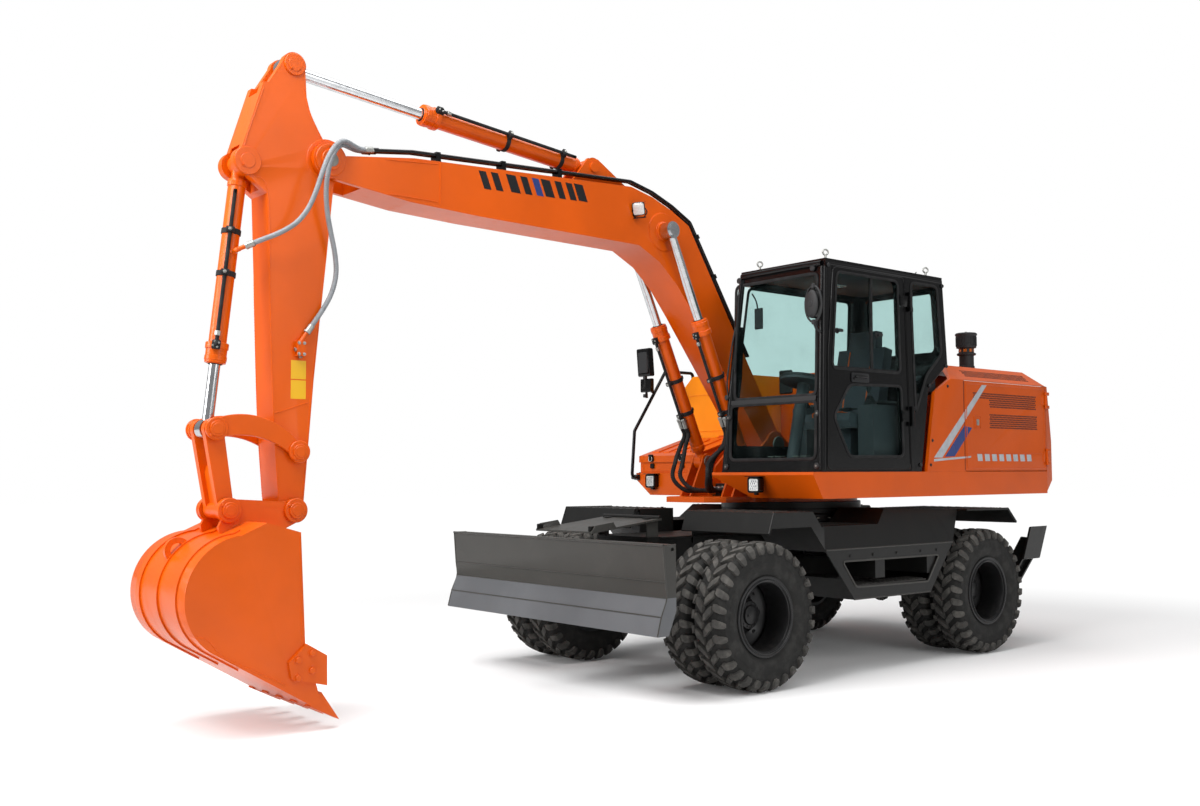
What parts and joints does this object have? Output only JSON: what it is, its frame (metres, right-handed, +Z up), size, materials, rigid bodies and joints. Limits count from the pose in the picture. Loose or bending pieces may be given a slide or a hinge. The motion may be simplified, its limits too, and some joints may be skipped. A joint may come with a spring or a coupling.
{
  "type": "wheeled excavator",
  "caption": "Wheeled hydraulic excavator with glazed cab, boom, arm and backhoe bucket, twin tyres, dozer blade in front and outriggers behind.",
  "frame": {"origin": "on the ground under the slewing ring's axis", "axes": "+X forwards, towards the blade and bucket, +Y to the machine's left, where the cab is, +Z up"},
  "size_m": [7.8002, 2.572, 4.247],
  "materials": {
    "orange_paint": "gloss",
    "black_paint": "satin",
    "chassis_grey": "satin",
    "blade_grey": "satin",
    "chrome": "polished",
    "tyre": "matt",
    "glass": "clear",
    "seat": "woven",
    "plastic": "grained",
    "hose": "matt",
    "cast": "rough cast"
  },
  "bodies": {
    "chassis": {"chassis_frame": "chassis_grey", "step_bodies": "chassis_grey", "slew_ring": "chassis_grey", "blade_cover": "blade_grey", "front_axle": "cast", "rear_axle": "cast", "driveline": "cast", "outrigger_beam": "chassis_grey"},
    "knuckle_left": {"knuckle_left": "cast"},
    "knuckle_right": {"knuckle_right": "cast"},
    "steering_rod": {"steering_rod": "chrome"},
    "wheel_front_left": {"tyres_front_left": "tyre", "wheels_front_left": "black_paint"},
    "wheel_front_right": {"tyres_front_right": "tyre", "wheels_front_right": "black_paint"},
    "wheel_rear_left": {"tyres_rear_left": "tyre", "wheels_rear_left": "black_paint"},
    "wheel_rear_right": {"tyres_rear_right": "tyre", "wheels_rear_right": "black_paint"},
    "blade_arms": {"blade_arms": "chassis_grey"},
    "blade": {"blade": "blade_grey"},
    "blade_links": {"blade_links": "chassis_grey"},
    "blade_barrels": {"blade_barrels": "chassis_grey"},
    "blade_rods": {"blade_rods": "chrome"},
    "outrigger_left": {"outrigger_leg_left": "chassis_grey"},
    "outrigger_right": {"outrigger_leg_right": "chassis_grey"},
    "upper": {"deck": "orange_paint", "counterweight": "orange_paint", "house_frame": "orange_paint", "engine_block": "cast", "tank": "orange_paint", "toolbox": "orange_paint", "cab_shell": "black_paint", "cab_glass": "glass", "cab_right_glass": "glass", "cab_seat": "seat", "cab_controls": "plastic", "pre_cleaner": "plastic", "mirrors": "black_paint", "deck_lamps": "plastic"},
    "engine_door_left": {"engine_door_left": "orange_paint"},
    "engine_door_right": {"engine_door_right": "orange_paint"},
    "engine_hood": {"engine_hood": "orange_paint"},
    "toolbox_lid": {"toolbox_lid": "orange_paint"},
    "cab_door": {"cab_door": "black_paint", "cab_door_glass": "glass"},
    "boom": {"boom": "orange_paint", "boom_pipes": "black_paint", "cylinder_hose": "hose", "block_hose": "hose"},
    "boom_barrels": {"boom_cylinder_barrel": "orange_paint"},
    "boom_rods": {"boom_cylinder_rod": "chrome"},
    "arm": {"arm": "orange_paint"},
    "arm_barrel": {"arm_cylinder_barrel": "orange_paint"},
    "arm_rod": {"arm_cylinder_rod": "chrome"},
    "bucket": {"bucket": "orange_paint"},
    "bucket_barrel": {"bucket_cylinder_barrel": "orange_paint"},
    "bucket_rod": {"bucket_cylinder_rod": "chrome"},
    "guide_links": {"guide_links": "orange_paint"},
    "bucket_link": {"bucket_link": "orange_paint"}
  },
  "joints": [
    {"name": "slew", "type": "hinge", "parent": "chassis", "child": "upper", "pos_m": [0, 0, 1.24], "axis": [0, 0, 1], "continuous": true},
    {"name": "steer_left", "type": "hinge", "parent": "chassis", "child": "knuckle_left", "pos_m": [1.684, 0.56, 0.5275], "axis": [0, 0, 1], "range_deg": [-30, 30]},
    {"name": "steer_right", "type": "hinge", "parent": "chassis", "child": "knuckle_right", "pos_m": [1.684, -0.56, 0.5275], "axis": [0, 0, 1], "range_deg": [-30.5, 30.5]},
    {"name": "steering_ram", "type": "slide", "parent": "chassis", "child": "steering_rod", "axis": [0, 1, 0], "range_m": [-0.136, 0.136]},
    {"name": "wheel_front_left", "type": "hinge", "parent": "knuckle_left", "child": "wheel_front_left", "pos_m": [1.684, 0.96, 0.5275], "axis": [0, 1, 0], "continuous": true},
    {"name": "wheel_front_right", "type": "hinge", "parent": "knuckle_right", "child": "wheel_front_right", "pos_m": [1.684, -0.96, 0.5275], "axis": [0, 1, 0], "continuous": true},
    {"name": "wheel_rear_left", "type": "hinge", "parent": "chassis", "child": "wheel_rear_left", "pos_m": [-1.116, 0.96, 0.5275], "axis": [0, 1, 0], "continuous": true},
    {"name": "wheel_rear_right", "type": "hinge", "parent": "chassis", "child": "wheel_rear_right", "pos_m": [-1.116, -0.96, 0.5275], "axis": [0, 1, 0], "continuous": true},
    {"name": "blade_lift", "type": "hinge", "parent": "chassis", "child": "blade_arms", "pos_m": [2.04, 0, 0.48], "axis": [0, 1, 0], "range_deg": [0, 72]},
    {"name": "blade_tilt", "type": "hinge", "parent": "blade_arms", "child": "blade", "pos_m": [2.436, 0, 0.768], "axis": [0, 1, 0], "range_deg": [-72.5, 0.5]},
    {"name": "blade_link_turn", "type": "hinge", "parent": "chassis", "child": "blade_links", "pos_m": [2.04, 0, 0.7], "axis": [0, 1, 0], "range_deg": [-0.5, 72.5]},
    {"name": "blade_cylinder_turn", "type": "hinge", "parent": "chassis", "child": "blade_barrels", "pos_m": [2.01, 0, 0.96], "axis": [0, 1, 0], "range_deg": [-0.5, 17]},
    {"name": "blade_cylinder_slide", "type": "slide", "parent": "blade_barrels", "child": "blade_rods", "axis": [0.6568, 0, -0.754], "range_m": [-0.003, 0.324]},
    {"name": "outrigger_left_lift", "type": "hinge", "parent": "chassis", "child": "outrigger_left", "pos_m": [-2.115, 0.78, 0.45], "axis": [-1, 0, 0], "range_deg": [0, 105]},
    {"name": "outrigger_right_lift", "type": "hinge", "parent": "chassis", "child": "outrigger_right", "pos_m": [-2.115, -0.78, 0.45], "axis": [1, 0, 0], "range_deg": [0, 105]},
    {"name": "boom_lift", "type": "hinge", "parent": "upper", "child": "boom", "pos_m": [0.223, -0.15, 1.785], "axis": [0, -1, 0], "range_deg": [-50, 25]},
    {"name": "boom_cylinder_turn", "type": "hinge", "parent": "upper", "child": "boom_barrels", "pos_m": [0.688, -0.15, 1.642], "axis": [0, -1, 0], "range_deg": [-56, 28]},
    {"name": "boom_cylinder_slide", "type": "slide", "parent": "boom_barrels", "child": "boom_rods", "axis": [0.4104, 0, 0.9119], "range_m": [-0.375, 0.188]},
    {"name": "arm_swing", "type": "hinge", "parent": "boom", "child": "arm", "pos_m": [4.454, -0.15, 3.576], "axis": [0, 1, 0], "range_deg": [-75, 30], "deforming": ["cylinder_hose", "block_hose"]},
    {"name": "arm_cylinder_turn", "type": "hinge", "parent": "boom", "child": "arm_barrel", "pos_m": [2.183, -0.15, 3.914], "axis": [0, 1, 0], "range_deg": [-1.95, 0.8]},
    {"name": "arm_cylinder_slide", "type": "slide", "parent": "arm_barrel", "child": "arm_rod", "axis": [0.9949, 0, 0.1004], "range_m": [-0.75, 0.3]},
    {"name": "bucket_curl", "type": "hinge", "parent": "arm", "child": "bucket", "pos_m": [4.669, -0.15, 1.317], "axis": [0, 1, 0], "range_deg": [-45, 50]},
    {"name": "guide_turn", "type": "hinge", "parent": "arm", "child": "guide_links", "pos_m": [4.645, -0.15, 1.685], "axis": [0, 1, 0], "range_deg": [-37.3, 41.4]},
    {"name": "link_turn", "type": "hinge", "parent": "guide_links", "child": "bucket_link", "pos_m": [5.181, -0.15, 1.82], "axis": [0, 1, 0], "range_deg": [-30.3, 27.3]},
    {"name": "bucket_cylinder_turn", "type": "hinge", "parent": "arm", "child": "bucket_barrel", "pos_m": [4.997, -0.15, 3.491], "axis": [0, 1, 0], "range_deg": [-2, 1.8], "deforming": ["cylinder_hose"]},
    {"name": "bucket_cylinder_slide", "type": "slide", "parent": "bucket_barrel", "child": "bucket_rod", "axis": [0.1095, 0, -0.994], "range_m": [-0.339, 0.376]},
    {"name": "engine_door_left_swing", "type": "hinge", "parent": "upper", "child": "engine_door_left", "pos_m": [-2.086, 1.258, 1.9], "axis": [0, 0, 1], "range_deg": [0, 90]},
    {"name": "engine_door_right_swing", "type": "hinge", "parent": "upper", "child": "engine_door_right", "pos_m": [-2.086, -1.258, 1.9], "axis": [0, 0, -1], "range_deg": [0, 90]},
    {"name": "engine_hood_lift", "type": "hinge", "parent": "upper", "child": "engine_hood", "pos_m": [-0.826, 0, 2.466], "axis": [0, 1, 0], "range_deg": [0, 60]},
    {"name": "toolbox_lid_lift", "type": "hinge", "parent": "upper", "child": "toolbox_lid", "pos_m": [0.126, -0.89, 1.878], "axis": [0, -1, 0], "range_deg": [0, 70]},
    {"name": "cab_door_swing", "type": "hinge", "parent": "upper", "child": "cab_door", "pos_m": [-0.066, 1.246, 2.4], "axis": [0, 0, 1], "range_deg": [0, 165]}
  ],
  "couplings": [
    {"joint": "steer_right", "follows": "steer_left", "ratio": 1},
    {"joint": "steering_ram", "follows": "steer_left", "m_per_rad": -0.255},
    {"joint": "blade_tilt", "follows": "blade_lift", "ratio": -1},
    {"joint": "blade_link_turn", "follows": "blade_lift", "ratio": 1},
    {"joint": "blade_cylinder_turn", "follows": "blade_lift", "ratio": 0.2309},
    {"joint": "blade_cylinder_slide", "follows": "blade_lift", "m_per_rad": 0.2549},
    {"joint": "boom_cylinder_turn", "follows": "boom_lift", "ratio": 1.106},
    {"joint": "boom_cylinder_slide", "follows": "boom_lift", "m_per_rad": 0.4246},
    {"joint": "arm_cylinder_turn", "follows": "arm_swing", "ratio": 0.025},
    {"joint": "arm_cylinder_slide", "follows": "arm_swing", "m_per_rad": 0.565},
    {"joint": "guide_turn", "follows": "bucket_curl", "ratio": 0.8191},
    {"joint": "link_turn", "follows": "bucket_curl", "ratio": -0.5965},
    {"joint": "bucket_cylinder_turn", "follows": "bucket_curl", "ratio": -0.0387},
    {"joint": "bucket_cylinder_slide", "follows": "bucket_curl", "m_per_rad": 0.4259}
  ]
}
